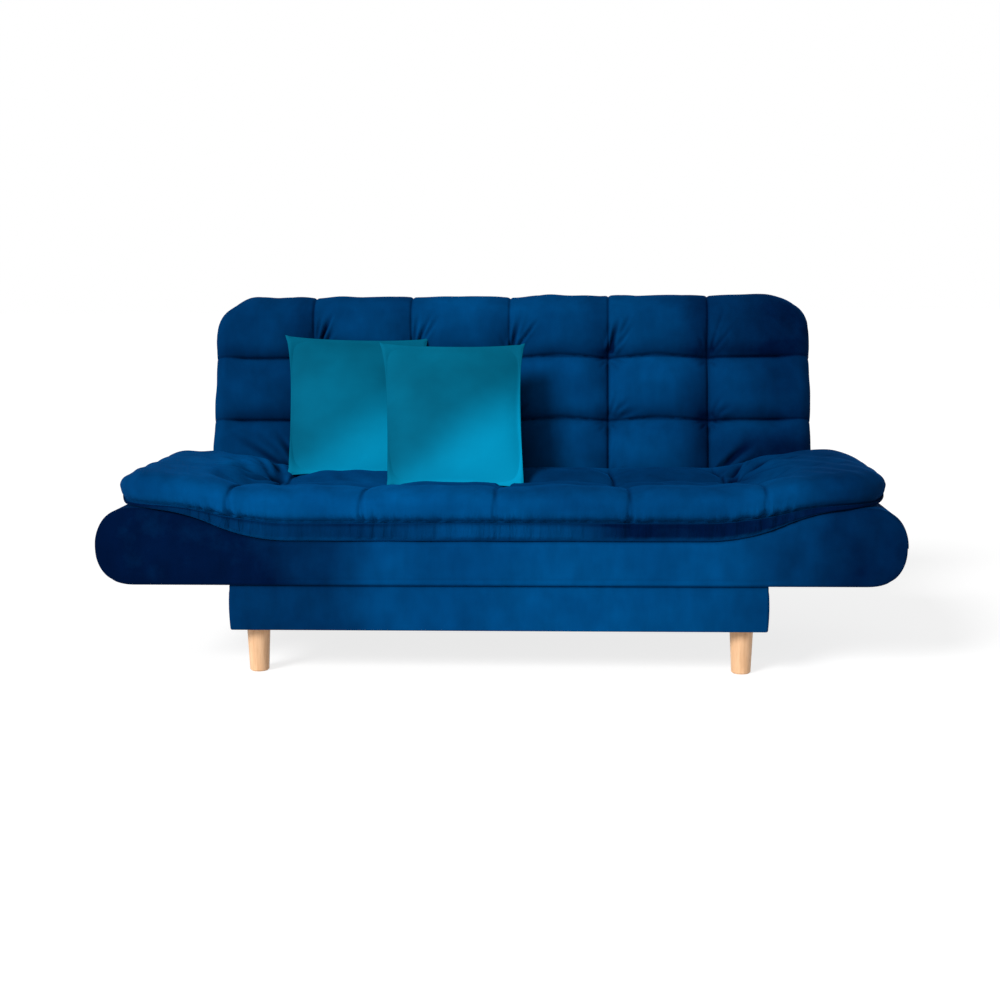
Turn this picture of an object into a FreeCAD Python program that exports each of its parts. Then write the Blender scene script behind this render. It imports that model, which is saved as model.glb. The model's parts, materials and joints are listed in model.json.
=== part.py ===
import FreeCAD, Part
import math
import os

from FreeCAD import Vector

# Futon sofa bed: a plinth on four peg legs, a wide padded seat with rolled, raised ends, and a
# padded back that folds flat on a pair of ratchet hinges. Millimetres, +Z up, the sitter faces -Y.
# The origin is on the floor under the middle of the whole sofa.

os.makedirs("parts", exist_ok=True)

# ---- Driving sizes -------------------------------------------------------------------------
# Legs and plinth
leg_height = 110.0
leg_top_radius = 28.0
leg_foot_radius = 23.0
leg_foot_bevel = 3.0
leg_inset = 56.0             # leg axis from the plinth's outer faces
plinth_height = 108.0
plinth_end_inset = 315.0     # plinth's end behind the seat's rolled end
plinth_front_inset = 12.0    # plinth's front behind the seat box's front
plinth_rear_reach = 94.0     # plinth's rear past the seat's rear
board = 22.0                 # thickness of the plinth and seat boards
cover = 3.0                  # padded cloth on the plinth
corner_block = 92.0
corner_block_height = 38.0
dust_cloth = 1.5

# Seat box: a padded board box with a dished top and well-rounded ends
seat_width = 1896.0
seat_box_depth = 570.0
seat_box_end_height = 184.0
seat_box_middle_height = 105.0
seat_box_end_corner = 78.0
dish_flat = 970.0            # width of the level middle of the dish
seat_wrap = 20.0             # foam and cloth round the seat boards
seat_front_wrap = 15.0
seat_box_round = 10.0
hardboard = 5.0
joist = 44.0
joist_pitch = 400.0
joist_count = 3
rest_gap = 0.3               # air between soft pieces that lie on each other

# Seat cushion
cushion_front_reach = 10.0   # cushion's front past the box's front
cushion_middle = 117.0
cushion_end = 76.0
cushion_round = 34.0

# Back
lean = 16.0                  # back's lean from upright, degrees
fold = 90.0 - lean           # travel from sitting to flat, degrees
back_end_inset = 140.0       # back's end behind the seat's rolled end
back_height = 638.0
back_thickness = 165.0
back_top_corner = 75.0
back_foot_round = 62.0
back_front_round = 55.0
back_rear_round = 30.0
back_foam = 112.0            # foam in front of the back's frame
back_side_foam = 27.0
back_foot_foam = 160.0       # foam below the back's frame
back_top_foam = 48.0
rail = 45.0                  # square section of the back's rails
back_panel = 5.0
webbing_width = 60.0
webbing_thickness = 2.0
webbing_count = 4
webbing_pitch = 85.0
bed_gap = 10.0               # seat to back when the back lies flat

# Quilting of the seat and the back: sewn-in seams that draw the foam down in wide V channels
seam_width = 90.0
seam_depth = 16.0
seam_fade = 0.1              # share of the seat's channels left where they run out at its front
back_columns = 6
back_first_row = 120.0       # lowest cross seam from the back's foot
back_row_pitch = 174.0
back_rows = 3
seat_front_pitch = 313.0     # the seat's seams spread from the back's pitch to this at the front
seat_first_row = 165.0       # rear cross seam from the seat's rear
seat_row_pitch = 180.0
seat_rows = 2
band_share = 0.4             # sewn band round the cushion's foot, as a share of its height
band_groove = 9.0            # depth and half width of the groove over the band

# Ratchet hinge
pivot_up_back = 113.0        # fold axis from the back's foot
pivot_into_back = 85.0       # fold axis from the back's face
lift_pivot_inset = 45.0      # lift axis from the plinth's rear
lift_pivot_rise = 7.0        # lift axis above the plinth's top
plate = 4.0
plate_gap = 1.0
pin_radius = 6.0
pin_fit = 0.05
pin_head = 4.0
pin_head_margin = 4.0
lift_boss = 14.0
fold_boss = 26.0
heel_radius = 28.0
flange_width = 40.0
flange_height = 66.0
flange_rise = 26.0           # flange's foot above the seat box's foot
ratchet_radius = 40.0
tooth_depth = 6.0
tooth_count = 7
tooth_share = 0.8
pawl_pin_reach = 72.0        # pawl pin from the fold axis
pawl_pin_angle = 210.0
pawl_nose_angle = 160.0
pawl_heel_radius = 10.0
pawl_nose_radius = 5.0
pawl_gap = 0.5
arm_foot_radius = 18.0
arm_tip_radius = 16.0
arm_first_bolt = 30.0        # first bolt from the frame's foot
arm_bolt_pitch = 70.0
arm_bolts = 3
bracket_drop = 62.0
bracket_bolt_pitch = 25.0
pocket_margin = 7.0
pocket_face = 42.0           # foam left in front of the hinge pocket

# Bolts
bolt_radius = 4.0
bolt_head_radius = 7.0
bolt_head = 5.0
bolt_grip = 18.0
leg_bolt_radius = 5.0
leg_bolt_depth = 30.0

# Loose pillows
pillow_size = 400.0
pillow_thickness = 76.0
pillow_lean = 30.0
pillow_left_roll = 2.8       # left pillow's turn on the rise of the seat
pillow_crown = 0.36          # level middle of a pillow's face, as a share of its size
pillow_left_inset = 400.0    # left pillow's middle from the back's end
pillow_pitch = 262.0         # right pillow's middle from the left one's

# ---- Places worked out from them -----------------------------------------------------------
hidden = 1.0                 # how far a cutting tool starts outside what it cuts
plinth_foot = leg_height
plinth_top = plinth_foot + plinth_height
box_foot = plinth_top + rest_gap
box_end_top = box_foot + seat_box_end_height
box_middle_top = box_foot + seat_box_middle_height
end_centre_x = (seat_width - seat_box_end_height) / 2
dish_half = dish_flat / 2
cushion_middle_top = box_middle_top + rest_gap + cushion_middle
cushion_end_top = box_end_top + rest_gap + cushion_end

lean_sin = math.sin(math.radians(lean))
lean_cos = math.cos(math.radians(lean))
# The reach of the back's round rear top from the fold axis fixes the sofa's whole depth
rear_reach = (back_height - back_rear_round - pivot_up_back) * lean_sin + back_rear_round \
    + (back_thickness - back_rear_round - pivot_into_back) * lean_cos
fold_from_seat = bed_gap + pivot_up_back
total_depth = cushion_front_reach + seat_box_depth + fold_from_seat + rear_reach
front_y = -total_depth / 2
box_front = front_y + cushion_front_reach
seat_rear = box_front + seat_box_depth
fold_y = seat_rear + fold_from_seat
fold_z = cushion_middle_top - pivot_into_back
plinth_front = box_front + plinth_front_inset
plinth_rear = seat_rear + plinth_rear_reach
plinth_half = seat_width / 2 - plinth_end_inset
lift_y = plinth_rear - lift_pivot_inset
lift_z = plinth_top + lift_pivot_rise
back_half = seat_width / 2 - back_end_inset
frame_half = back_half - back_side_foam
frame_top = back_height - back_top_foam
back_column = 2 * back_half / back_columns

# Planes of the hinge's plates along X, from the plinth's end board inwards
bracket_out = plinth_half - cover - board
bracket_in = bracket_out - plate
arm_out = bracket_out - plate / 2 - pin_fit
arm_in = arm_out - plate
heel_out = arm_in - plate_gap
heel_in = heel_out - plate
bracket_width = 2 * (lift_pivot_inset - cover - board - plate_gap)


# ---- Small makers --------------------------------------------------------------------------
def block(x0, x1, y0, y1, z0, z1):
    return Part.makeBox(x1 - x0, y1 - y0, z1 - z0, Vector(x0, y0, z0))


def rod(radius, x0, x1, y, z):
    """Cylinder along X."""
    return Part.makeCylinder(radius, x1 - x0, Vector(x0, y, z), Vector(1, 0, 0))


def line(a, b):
    return Part.LineSegment(a, b).toShape()


def arc(a, through, b):
    return Part.Arc(a, through, b).toShape()


def mirrored(shape):
    return shape.mirror(Vector(0, 0, 0), Vector(1, 0, 0))


def export(name, *solids):
    shape = solids[0] if len(solids) == 1 else Part.makeCompound(list(solids))
    shape.exportStep("parts/" + name + ".step")


def export_pair(name, *solids):
    """The +X copy is the right one, seen from the front."""
    export(name + "_right", *solids)
    export(name + "_left", *[mirrored(s) for s in solids])


def extruded(edges, direction):
    return Part.Face(Part.Wire(edges)).extrude(direction)


def link(centre_a, radius_a, centre_b, radius_b, x0, x1):
    """Plate along X whose outline wraps two circles, given as (y, z)."""
    ay, az = centre_a
    by, bz = centre_b
    along = math.atan2(bz - az, by - ay)
    spread = math.acos((radius_a - radius_b) / math.hypot(by - ay, bz - az))

    def at(centre, radius, angle):
        return Vector(x0, centre[0] + radius * math.cos(angle), centre[1] + radius * math.sin(angle))

    left_a, right_a = at(centre_a, radius_a, along + spread), at(centre_a, radius_a, along - spread)
    left_b, right_b = at(centre_b, radius_b, along + spread), at(centre_b, radius_b, along - spread)
    edges = [
        line(left_a, left_b),
        arc(left_b, at(centre_b, radius_b, along), right_b),
        line(right_b, right_a),
        arc(right_a, at(centre_a, radius_a, along + math.pi), left_a),
    ]
    return extruded(edges, Vector(x1 - x0, 0, 0))


def around_fold(reach, degrees):
    """Point (y, z) at a distance and angle from the fold axis."""
    angle = math.radians(degrees)
    return fold_y + reach * math.cos(angle), fold_z + reach * math.sin(angle)


# ---- The dished profile of the seat --------------------------------------------------------
def dish_half_edges(middle_z, end_z, offset):
    """Right half of a dish, seen from the front: a level run, an arc that turns up and an equal
    arc that turns back to level over the rolled end. offset moves it outwards all along."""
    run = end_centre_x - dish_half
    rise = end_z - middle_z
    turn = 2 * math.atan(rise / run)
    bend = run / (2 * math.sin(turn))
    low, high = (dish_half, middle_z + bend), (end_centre_x, end_z - bend)

    def on(centre, radius, angle, side):
        return Vector(centre[0] + side * radius * math.sin(angle), 0,
                      centre[1] - side * radius * math.cos(angle))

    joint = on(low, bend - offset, turn, 1)
    start = on(low, bend - offset, 0, 1)
    end = on(high, bend + offset, 0, -1)
    return start, end, [
        line(Vector(0, 0, start.z), start),
        arc(start, on(low, bend - offset, turn / 2, 1), joint),
        arc(joint, on(high, bend + offset, turn / 2, -1), end),
    ]


def both_halves(right_edges):
    return right_edges + [mirrored(e) for e in right_edges]


def seat_box_profile(inset):
    """Outline of the seat box: dished top, ends with two round corners, level foot."""
    _, end, top = dish_half_edges(box_middle_top, box_end_top, -inset)
    radius, slant = seat_box_end_corner - inset, (seat_box_end_corner - inset) * math.sqrt(0.5)
    upper = Vector(seat_width / 2 - seat_box_end_corner, 0, box_end_top - seat_box_end_corner)
    lower = Vector(upper.x, 0, box_foot + seat_box_end_corner)
    shoulder, foot = upper + Vector(0, 0, radius), lower - Vector(0, 0, radius)
    side_top, side_foot = upper + Vector(radius, 0, 0), lower + Vector(radius, 0, 0)
    rolled = [
        line(end, shoulder),
        arc(shoulder, upper + Vector(slant, 0, slant), side_top),
        line(side_top, side_foot),
        arc(side_foot, lower + Vector(slant, 0, -slant), foot),
        line(foot, Vector(0, 0, foot.z)),
    ]
    return both_halves(top + rolled)


def seat_slab(edges, y0, y1):
    slab = extruded(Part.sortEdges(edges)[0], Vector(0, y1 - y0, 0))
    slab.translate(Vector(0, y0, 0))
    return slab


def channel(apex, across, down):
    """Outline of a V channel from its lowest point: across is half its width at the surface, down its
    depth, both vectors. It is drawn on beyond the surface in the same slopes."""
    beyond = 1 + 2 * band_groove / down.Length
    return Part.makePolygon([apex, apex + (across - down) * beyond, apex - (across + down) * beyond, apex])


def rounded_ends(slab, radius, *ys):
    """Fillet the edges of the slab's faces at the given places along Y."""
    edges = [e for e in slab.Edges
             for y in ys if all(abs(v.Point.y - y) < 1e-6 for v in e.Vertexes)]
    return slab.makeFillet(radius, edges)


# ---- Bolts -----------------------------------------------------------------------------
def hex_bolt(x, y, z, direction, grip=bolt_grip):
    """Hexagon bolt whose head sits on the point; the shank runs against direction."""
    turn = FreeCAD.Rotation(Vector(0, 0, 1), direction)
    corners = [Vector(bolt_head_radius * math.cos(math.radians(60 * k)),
                      bolt_head_radius * math.sin(math.radians(60 * k)), 0) for k in range(7)]
    head = Part.Face(Part.makePolygon(corners)).extrude(Vector(0, 0, bolt_head))
    bolt = head.fuse(Part.makeCylinder(bolt_radius, grip, Vector(0, 0, -grip))).removeSplitter()
    bolt.Placement = FreeCAD.Placement(Vector(x, y, z), turn)
    return bolt


def bolt_hole(x, y, z, direction, grip=bolt_grip):
    back_step = Vector(direction) * -grip
    return Part.makeCylinder(bolt_radius + pin_fit, grip + hidden, Vector(x, y, z) + back_step, direction)


def bored(shape, *holes):
    for hole in holes:
        shape = shape.cut(hole)
    return shape


# ---- Plinth and legs ------------------------------------------------------------------------
def leg_places():
    xs = plinth_half - leg_inset
    return {"front_left": (-xs, plinth_front + leg_inset), "front_right": (xs, plinth_front + leg_inset),
            "rear_left": (-xs, plinth_rear - leg_inset), "rear_right": (xs, plinth_rear - leg_inset)}


def leg(x, y):
    """Tapered peg turned from its half profile, with a bevelled foot and a blind bore for its bolt."""
    corners = [(0, 0), (leg_foot_radius - leg_foot_bevel, 0), (leg_foot_radius, leg_foot_bevel),
               (leg_top_radius, leg_height), (0, leg_height), (0, 0)]
    profile = Part.makePolygon([Vector(r, 0, z) for r, z in corners])
    peg = Part.Face(profile).revolve(Vector(0, 0, 0), Vector(0, 0, 1), 360)
    peg.translate(Vector(x, y, 0))
    return peg.cut(leg_bolt(x, y, pin_fit))


def leg_bolt(x, y, margin=0.0):
    length = leg_bolt_depth + corner_block_height
    return Part.makeCylinder(leg_bolt_radius + margin, length + margin,
                             Vector(x, y, leg_height - leg_bolt_depth - margin))


def plinth_boards():
    inner_front, inner_rear = plinth_front + cover, plinth_rear - cover
    half = plinth_half - cover
    front = block(-half, half, inner_front, inner_front + board, plinth_foot, plinth_top)
    rear = block(-half, half, inner_rear - board, inner_rear, plinth_foot, plinth_top)
    side = block(half - board, half, inner_front + board, inner_rear - board, plinth_foot, plinth_top)
    return front, rear, bored(side, *[bolt_hole(*b) for b in bracket_bolt_places()])


def plinth_cover():
    """Padded cloth round the four boards, with soft upright corners."""
    outer = block(-plinth_half, plinth_half, plinth_front, plinth_rear, plinth_foot, plinth_top)
    upright = [e for e in outer.Edges if abs(e.Vertexes[0].Z - e.Vertexes[1].Z) > plinth_height / 2]
    outer = outer.makeFillet(cover, upright)
    inner = block(-plinth_half + cover, plinth_half - cover, plinth_front + cover, plinth_rear - cover,
                  plinth_foot - hidden, plinth_top + hidden)
    return outer.cut(inner)


def corner_blocks():
    """Triangular-cut blocks in the plinth's corners that carry the legs."""
    inner_x, inner_front, inner_rear = bracket_out, plinth_front + cover + board, plinth_rear - cover - board
    blocks = []
    for x, y in leg_places().values():
        side_x = math.copysign(inner_x, x)
        side_y = inner_front if y < (inner_front + inner_rear) / 2 else inner_rear
        in_x, in_y = -math.copysign(corner_block, x), corner_block if side_y == inner_front else -corner_block
        cut = 0.45
        points = [(side_x, side_y), (side_x + in_x, side_y), (side_x + in_x, side_y + in_y * cut),
                  (side_x + in_x * cut, side_y + in_y), (side_x, side_y + in_y), (side_x, side_y)]
        face = Part.Face(Part.makePolygon([Vector(px, py, plinth_foot) for px, py in points]))
        blocks.append(face.extrude(Vector(0, 0, corner_block_height)).cut(leg_bolt(x, y, pin_fit)))
    return blocks


def dust_cloth_sheet():
    """Black cloth closing the plinth's foot between the boards, cut away at the blocks."""
    inner_front, inner_rear = plinth_front + cover + board, plinth_rear - cover - board
    sheet = block(-bracket_out, bracket_out, inner_front, inner_rear, plinth_foot, plinth_foot + dust_cloth)
    for corner in corner_blocks():
        sheet = sheet.cut(corner)
    return bored(sheet, *[leg_bolt(x, y, pin_fit) for x, y in leg_places().values()])


# ---- Seat ------------------------------------------------------------------------------------
board_front = box_front + seat_front_wrap


def seat_boards():
    """Front and rear boards cut to the dished outline."""
    front = seat_slab(seat_box_profile(seat_wrap), board_front, board_front + board)
    rear = seat_slab(seat_box_profile(seat_wrap), seat_rear - board, seat_rear)
    return front, bored(rear, *[bolt_hole(*b) for b in flange_bolt_places()],
                        *[mirrored(bolt_hole(*b)) for b in flange_bolt_places()])


def seat_hardboard():
    """Thin board bent over the dish and round the ends, between the two boards."""
    y0, y1 = board_front + board, seat_rear - board
    ring = seat_slab(seat_box_profile(seat_wrap), y0, y1).cut(
        seat_slab(seat_box_profile(seat_wrap + hardboard), y0 - hidden, y1 + hidden))
    open_foot = block(-end_centre_x, end_centre_x, y0 - hidden, y1 + hidden, box_foot,
                      box_foot + seat_wrap + 2 * hardboard)
    return ring.cut(open_foot)


def seat_joists():
    """Joists from board to board under the bent hardboard."""
    z0 = box_foot + seat_wrap
    z1 = box_middle_top - seat_wrap - hardboard
    first = -joist_pitch * (joist_count - 1) / 2
    return [block(first + k * joist_pitch - joist / 2, first + k * joist_pitch + joist / 2,
                  board_front + board, seat_rear - board, z0, z1) for k in range(joist_count)]


def seat_padding():
    """Foam and cloth over the seat box: all round, and over the front."""
    outer = rounded_ends(seat_slab(seat_box_profile(0), box_front, seat_rear), seat_box_round, box_front)
    return outer.cut(seat_slab(seat_box_profile(seat_wrap), board_front, seat_rear + hidden))


def seat_cushion():
    """Long cushion that follows the dish, thicker in its middle, with half-round ends."""
    _, low_end, low = dish_half_edges(box_middle_top, box_end_top, rest_gap)
    _, high_end, high = dish_half_edges(cushion_middle_top, cushion_end_top, 0)
    middle = (low_end.z + high_end.z) / 2
    tip = Vector(end_centre_x + (high_end.z - low_end.z) / 2, 0, middle)
    slab = seat_slab(both_halves(low + [arc(low_end, tip, high_end)] + high), front_y, seat_rear)
    slab = rounded_ends(slab, cushion_round, front_y, seat_rear)
    return bored(slab, *seat_seams(), *seat_cross_seams(), band_seam())


def along_dish(profile, middle_z, end_z):
    """Cutter with the given outline carried along a dish and straight on past the rolled ends.
    profile makes the outline round its place on the path."""
    _, end, edges = dish_half_edges(middle_z, end_z, 0)
    edges.append(line(end, Vector(seat_width / 2, 0, end.z)))
    path = Part.Wire(Part.sortEdges(both_halves(edges))[0])
    return path.makePipeShell([profile(Vector(-seat_width / 2, 0, end.z))], True, True)


def seat_seams():
    """Channels from the rear, where they meet the back's, spreading and running out at the front."""
    cutters = []
    for column in range(1 - back_columns // 2, back_columns // 2):
        outlines = []
        for y, pitch, share in ((seat_rear + hidden, back_column, 1),
                                (front_y + cushion_round, seat_front_pitch, seam_fade)):
            depth = seam_depth * share
            apex = Vector(column * pitch, y, cushion_top_at(column * pitch) - depth)
            outlines.append(channel(apex, Vector(seam_width / 2 * share, 0, 0), Vector(0, 0, -depth)))
        cutters.append(Part.makeLoft(outlines, True, True))
    return cutters


def cushion_top_at(x):
    """Height of the cushion's top over a place on the level of the dish or its first arc."""
    rise = cushion_end_top - cushion_middle_top
    run = end_centre_x - dish_half
    bend = run / (2 * math.sin(2 * math.atan(rise / run)))
    past = max(abs(x) - dish_half, 0)
    return cushion_middle_top + bend - math.sqrt(bend ** 2 - past ** 2)


def cross_seam_y(row):
    """The seat's cross seams are counted from its rear."""
    return seat_rear - seat_first_row - row * seat_row_pitch


def seat_cross_seams():
    half, down = Vector(0, seam_width / 2, 0), Vector(0, 0, -seam_depth)

    def cutter(y):
        return along_dish(lambda place: channel(place + Vector(0, y, 0) + down, half, down),
                          cushion_middle_top, cushion_end_top)

    return [cutter(cross_seam_y(row)) for row in range(seat_rows)]


def band_seam():
    """Groove in the cushion's front between its band and the roll above."""
    into = Vector(0, band_groove, 0)
    half = Vector(0, 0, band_groove)
    return along_dish(lambda place: channel(place + Vector(0, front_y, 0) + into, half, into),
                      box_middle_top + rest_gap + band_share * cushion_middle,
                      box_end_top + rest_gap + band_share * cushion_end)


# ---- Back, made upright at the fold axis and then leaned --------------------------------------
def up_back(u):
    return fold_z - pivot_up_back + u


def into_back(v):
    return fold_y - pivot_into_back + v


def leaned(shape):
    turned = shape.copy()
    turned.rotate(Vector(0, fold_y, fold_z), Vector(-1, 0, 0), lean)
    return turned


def back_block(x0, x1, u0, u1, v0, v1):
    return block(x0, x1, into_back(v0), into_back(v1), up_back(u0), up_back(u1))


def back_side_outline():
    """Side view of the back: a slab with a well-rounded foot, so that it clears the seat and the
    plinth as it folds, and a softer top."""
    v, u = into_back, up_back
    corners = [(0, 0, back_foot_round), (0, back_height, back_front_round),
               (back_thickness, back_height, back_rear_round), (back_thickness, 0, back_foot_round)]
    soft = 1 - math.sqrt(0.5)
    edges, last = [], None
    for corner_v, corner_u, radius in corners:
        in_v = radius if corner_v == 0 else -radius
        in_u = radius if corner_u == 0 else -radius
        beside = Vector(-back_half, v(corner_v + in_v), u(corner_u))
        along = Vector(-back_half, v(corner_v), u(corner_u + in_u))
        middle = Vector(-back_half, v(corner_v + soft * in_v), u(corner_u + soft * in_u))
        start, end = (beside, along) if (corner_v == 0) == (corner_u == 0) else (along, beside)
        if last:
            edges.append(line(last, start))
        edges.append(arc(start, middle, end))
        last = end
    edges.append(line(last, edges[0].Vertexes[0].Point))
    return extruded(edges, Vector(2 * back_half, 0, 0))


def back_front_outline():
    """Front view of the back: round top corners."""
    slab = back_block(-back_half, back_half, -hidden, back_height + hidden, -hidden, back_thickness + hidden)
    top = [e for e in slab.Edges if e.BoundBox.YLength > back_thickness / 2
           and e.BoundBox.ZMin > up_back(back_height / 2)]
    return slab.makeFillet(back_top_corner, top)


def back_plan_outline():
    """Seen from above: front and rear edges rounded at the ends."""
    slab = back_block(-back_half, back_half, -2 * hidden, back_height + 2 * hidden, 0, back_thickness)
    upright = [e for e in slab.Edges if e.BoundBox.ZLength > back_height / 2]
    return slab.makeFillet(back_rear_round, upright)


def hinge_pockets():
    """Room in the foam for the hinge: open at the foot, closed in front above the seat."""
    x0, x1 = heel_in - pin_head - pocket_margin, arm_out + pocket_margin
    u_open = pivot_up_back + pawl_nose_radius + 2 * pocket_margin
    u_top = back_foot_foam + rail + arm_first_bolt + pocket_margin
    low = back_block(x0, x1, -hidden, u_open, -hidden, back_thickness + hidden)
    inner = back_block(x0, x1, u_open - hidden, u_top, pocket_face, back_thickness + hidden)
    pocket = low.fuse(inner)
    return pocket, mirrored(pocket)


def back_seams():
    """Channels up the back's face and over its top, and across it."""
    into = Vector(0, seam_depth, 0)
    cutters = []
    for column in range(1 - back_columns // 2, back_columns // 2):
        apex = Vector(column * back_column, into_back(0), up_back(-hidden)) + into
        outline = channel(apex, Vector(seam_width / 2, 0, 0), into)
        cutters.append(Part.Face(outline).extrude(Vector(0, 0, back_height + 2 * hidden)))
    for row in range(back_rows):
        height = up_back(back_first_row + row * back_row_pitch)
        apex = Vector(-back_half - hidden, into_back(0), height) + into
        outline = channel(apex, Vector(0, 0, seam_width / 2), into)
        cutters.append(Part.Face(outline).extrude(Vector(2 * back_half + 2 * hidden, 0, 0)))
    return cutters


def back_cushion():
    slab = back_side_outline().common(back_front_outline()).common(back_plan_outline())
    cavity = back_block(-frame_half, frame_half, back_foot_foam, frame_top,
                        back_foam - webbing_thickness, back_thickness + hidden)
    return leaned(bored(slab, *back_seams(), cavity, *hinge_pockets()))


def back_webbing():
    """Straps across the front of the frame, above the hinge pockets, that carry the foam."""
    first = frame_top - rail - (webbing_count - 1) * webbing_pitch
    return [leaned(back_block(-frame_half, frame_half, first + k * webbing_pitch - webbing_width,
                              first + k * webbing_pitch, back_foam - webbing_thickness, back_foam))
            for k in range(webbing_count)]


def back_frame():
    """Rails and stiles of the back as named pieces, before they are leaned."""
    v0, v1 = back_foam, back_foam + rail
    foot, top = back_foot_foam, frame_top
    hinge_stile = back_block(arm_out, arm_out + rail, foot, top - rail, v0, v1)
    hinge_stile = bored(hinge_stile, *[bolt_hole(*b) for b in arm_bolt_places()])
    # The middle foot rail ends against the hinge arms, which it holds to the stiles
    rail_half = arm_in - rest_gap
    middle = {
        "back_foot_rail": back_block(-rail_half, rail_half, foot, foot + rail, v0, v1),
        "back_top_rail": back_block(-frame_half, frame_half, top - rail, top, v0, v1),
        "back_middle_stile": back_block(-rail / 2, rail / 2, foot + rail, top - rail, v0, v1),
    }
    ends = {
        "back_hinge_stile": hinge_stile,
        "back_end_stile": back_block(frame_half - rail, frame_half, foot, top - rail, v0, v1),
        "back_end_foot_rail": back_block(arm_out + rail, frame_half - rail, foot, foot + rail, v0, v1),
    }
    return middle, ends


def back_rear_panel():
    v0 = back_foam + rail
    panel = back_block(-frame_half, frame_half, back_foot_foam, frame_top, v0, v0 + back_panel)
    pockets = hinge_pockets()
    return leaned(bored(panel, *pockets))


# ---- Ratchet hinge, one at each end of the plinth ----------------------------------------------
heel = (seat_rear + heel_radius, box_foot + flange_rise + flange_height / 2)
lift_axis = (lift_y, lift_z)
fold_axis = (fold_y, fold_z)
pawl_pin_place = around_fold(pawl_pin_reach, pawl_pin_angle)
pawl_nose_place = around_fold(ratchet_radius + pawl_gap + pawl_nose_radius, pawl_nose_angle)


def flange_bolt_places():
    x = heel_out - flange_width * 0.6
    zs = (box_foot + flange_rise + flange_height * share for share in (0.25, 0.75))
    return [(x, seat_rear + plate, z, Vector(0, 1, 0)) for z in zs]


def bracket_bolt_places():
    first = lift_z - bracket_drop + bolt_head_radius + plate
    return [(bracket_in, lift_y, z, Vector(-1, 0, 0)) for z in (first, first + bracket_bolt_pitch)]


def arm_bolt_places():
    v = into_back(back_foam + rail / 2)
    first = up_back(back_foot_foam + rail + arm_first_bolt)
    return [(arm_in, v, first + k * arm_bolt_pitch, Vector(-1, 0, 0)) for k in range(arm_bolts)]


def hole(place, x0, x1):
    return rod(pin_radius + pin_fit, x0 - hidden, x1 + hidden, *place)


def plinth_bracket():
    """Plate on the plinth's end board that carries the lift pin."""
    z0 = lift_z - bracket_drop
    foot = block(bracket_in, bracket_out, lift_y - bracket_width / 2, lift_y + bracket_width / 2,
                 z0, plinth_top - plate)
    upright = [e for e in foot.Edges if e.BoundBox.XLength > plate / 2]
    foot = foot.makeFillet(plate, upright)
    ear = link(lift_axis, lift_boss, (lift_y, z0 + bracket_width / 2), bracket_width / 2 - plate,
               bracket_in, bracket_out)
    holes = [bolt_hole(*b) for b in bracket_bolt_places()]
    return bored(foot.fuse(ear).removeSplitter(), hole(lift_axis, bracket_in, bracket_out), *holes)


def seat_heel():
    """Plate bolted to the seat's rear that turns on the lift pin and holds the fold pin."""
    x0, x1 = heel_in, heel_out
    web = link(heel, heel_radius, fold_axis, fold_boss, x0, x1)
    web = web.fuse(link(heel, heel_radius, lift_axis, lift_boss, x0, x1))
    web = web.fuse(link(lift_axis, lift_boss, fold_axis, fold_boss, x0, x1))
    z0 = box_foot + flange_rise
    flange = block(x1 - flange_width, x1, seat_rear, seat_rear + plate, z0, z0 + flange_height)
    root = block(x0, x1, seat_rear, heel[0], z0, z0 + flange_height)
    web = web.fuse(root).fuse(flange).removeSplitter()
    holes = [hole(p, x0, x1) for p in (lift_axis, fold_axis, pawl_pin_place)]
    return bored(web, *holes, *[bolt_hole(*b) for b in flange_bolt_places()])


def ratchet_tooth(angle, step):
    """Saw-tooth notch: a radial face and a long slope."""
    outer, root = ratchet_radius + hidden, ratchet_radius - tooth_depth
    corners = [around_fold(outer, angle), around_fold(root, angle), around_fold(outer, angle + step * tooth_share)]
    points = [Vector(arm_in - hidden, y, z) for y, z in corners + corners[:1]]
    return Part.Face(Part.makePolygon(points)).extrude(Vector(plate + 2 * hidden, 0, 0))


def back_arm():
    """Arm bolted to the back's hinge stile, with the toothed ratchet round the fold pin."""
    v = into_back(back_foam + rail / 2)
    foot = (v, up_back(back_foot_foam + rail + arm_first_bolt))
    tip = (v, foot[1] + (arm_bolts - 1) * arm_bolt_pitch)
    arm = link(foot, arm_foot_radius, tip, arm_tip_radius, arm_in, arm_out)
    arm = arm.fuse(link(fold_axis, fold_boss, foot, arm_foot_radius, arm_in, arm_out)).removeSplitter()
    arm = leaned(bored(arm, *[bolt_hole(*b) for b in arm_bolt_places()]))
    wheel = rod(ratchet_radius, arm_in, arm_out, *fold_axis)
    step = fold / (tooth_count - 1)
    teeth = [ratchet_tooth(pawl_nose_angle + k * step, step) for k in range(tooth_count)]
    return bored(arm.fuse(bored(wheel, *teeth)).removeSplitter(), hole(fold_axis, arm_in, arm_out))


def pawl():
    body = link(pawl_pin_place, pawl_heel_radius, pawl_nose_place, pawl_nose_radius, arm_in, arm_out)
    return body.cut(hole(pawl_pin_place, arm_in, arm_out))


def pin(place, x_end):
    """Headed pin from the heel plate's inner face."""
    shank = rod(pin_radius, heel_in - pin_head, x_end, *place)
    head = rod(pin_radius + pin_head_margin, heel_in - pin_head, heel_in - pin_fit, *place)
    return shank.fuse(head).removeSplitter()


def lift_pin():
    """The lift pin has a collar that spaces the heel plate from the bracket."""
    collar = rod(pin_radius + pin_head_margin, heel_out + pin_fit, bracket_in - pin_fit, *lift_axis)
    return pin(lift_axis, bracket_out).fuse(collar).removeSplitter()


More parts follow.
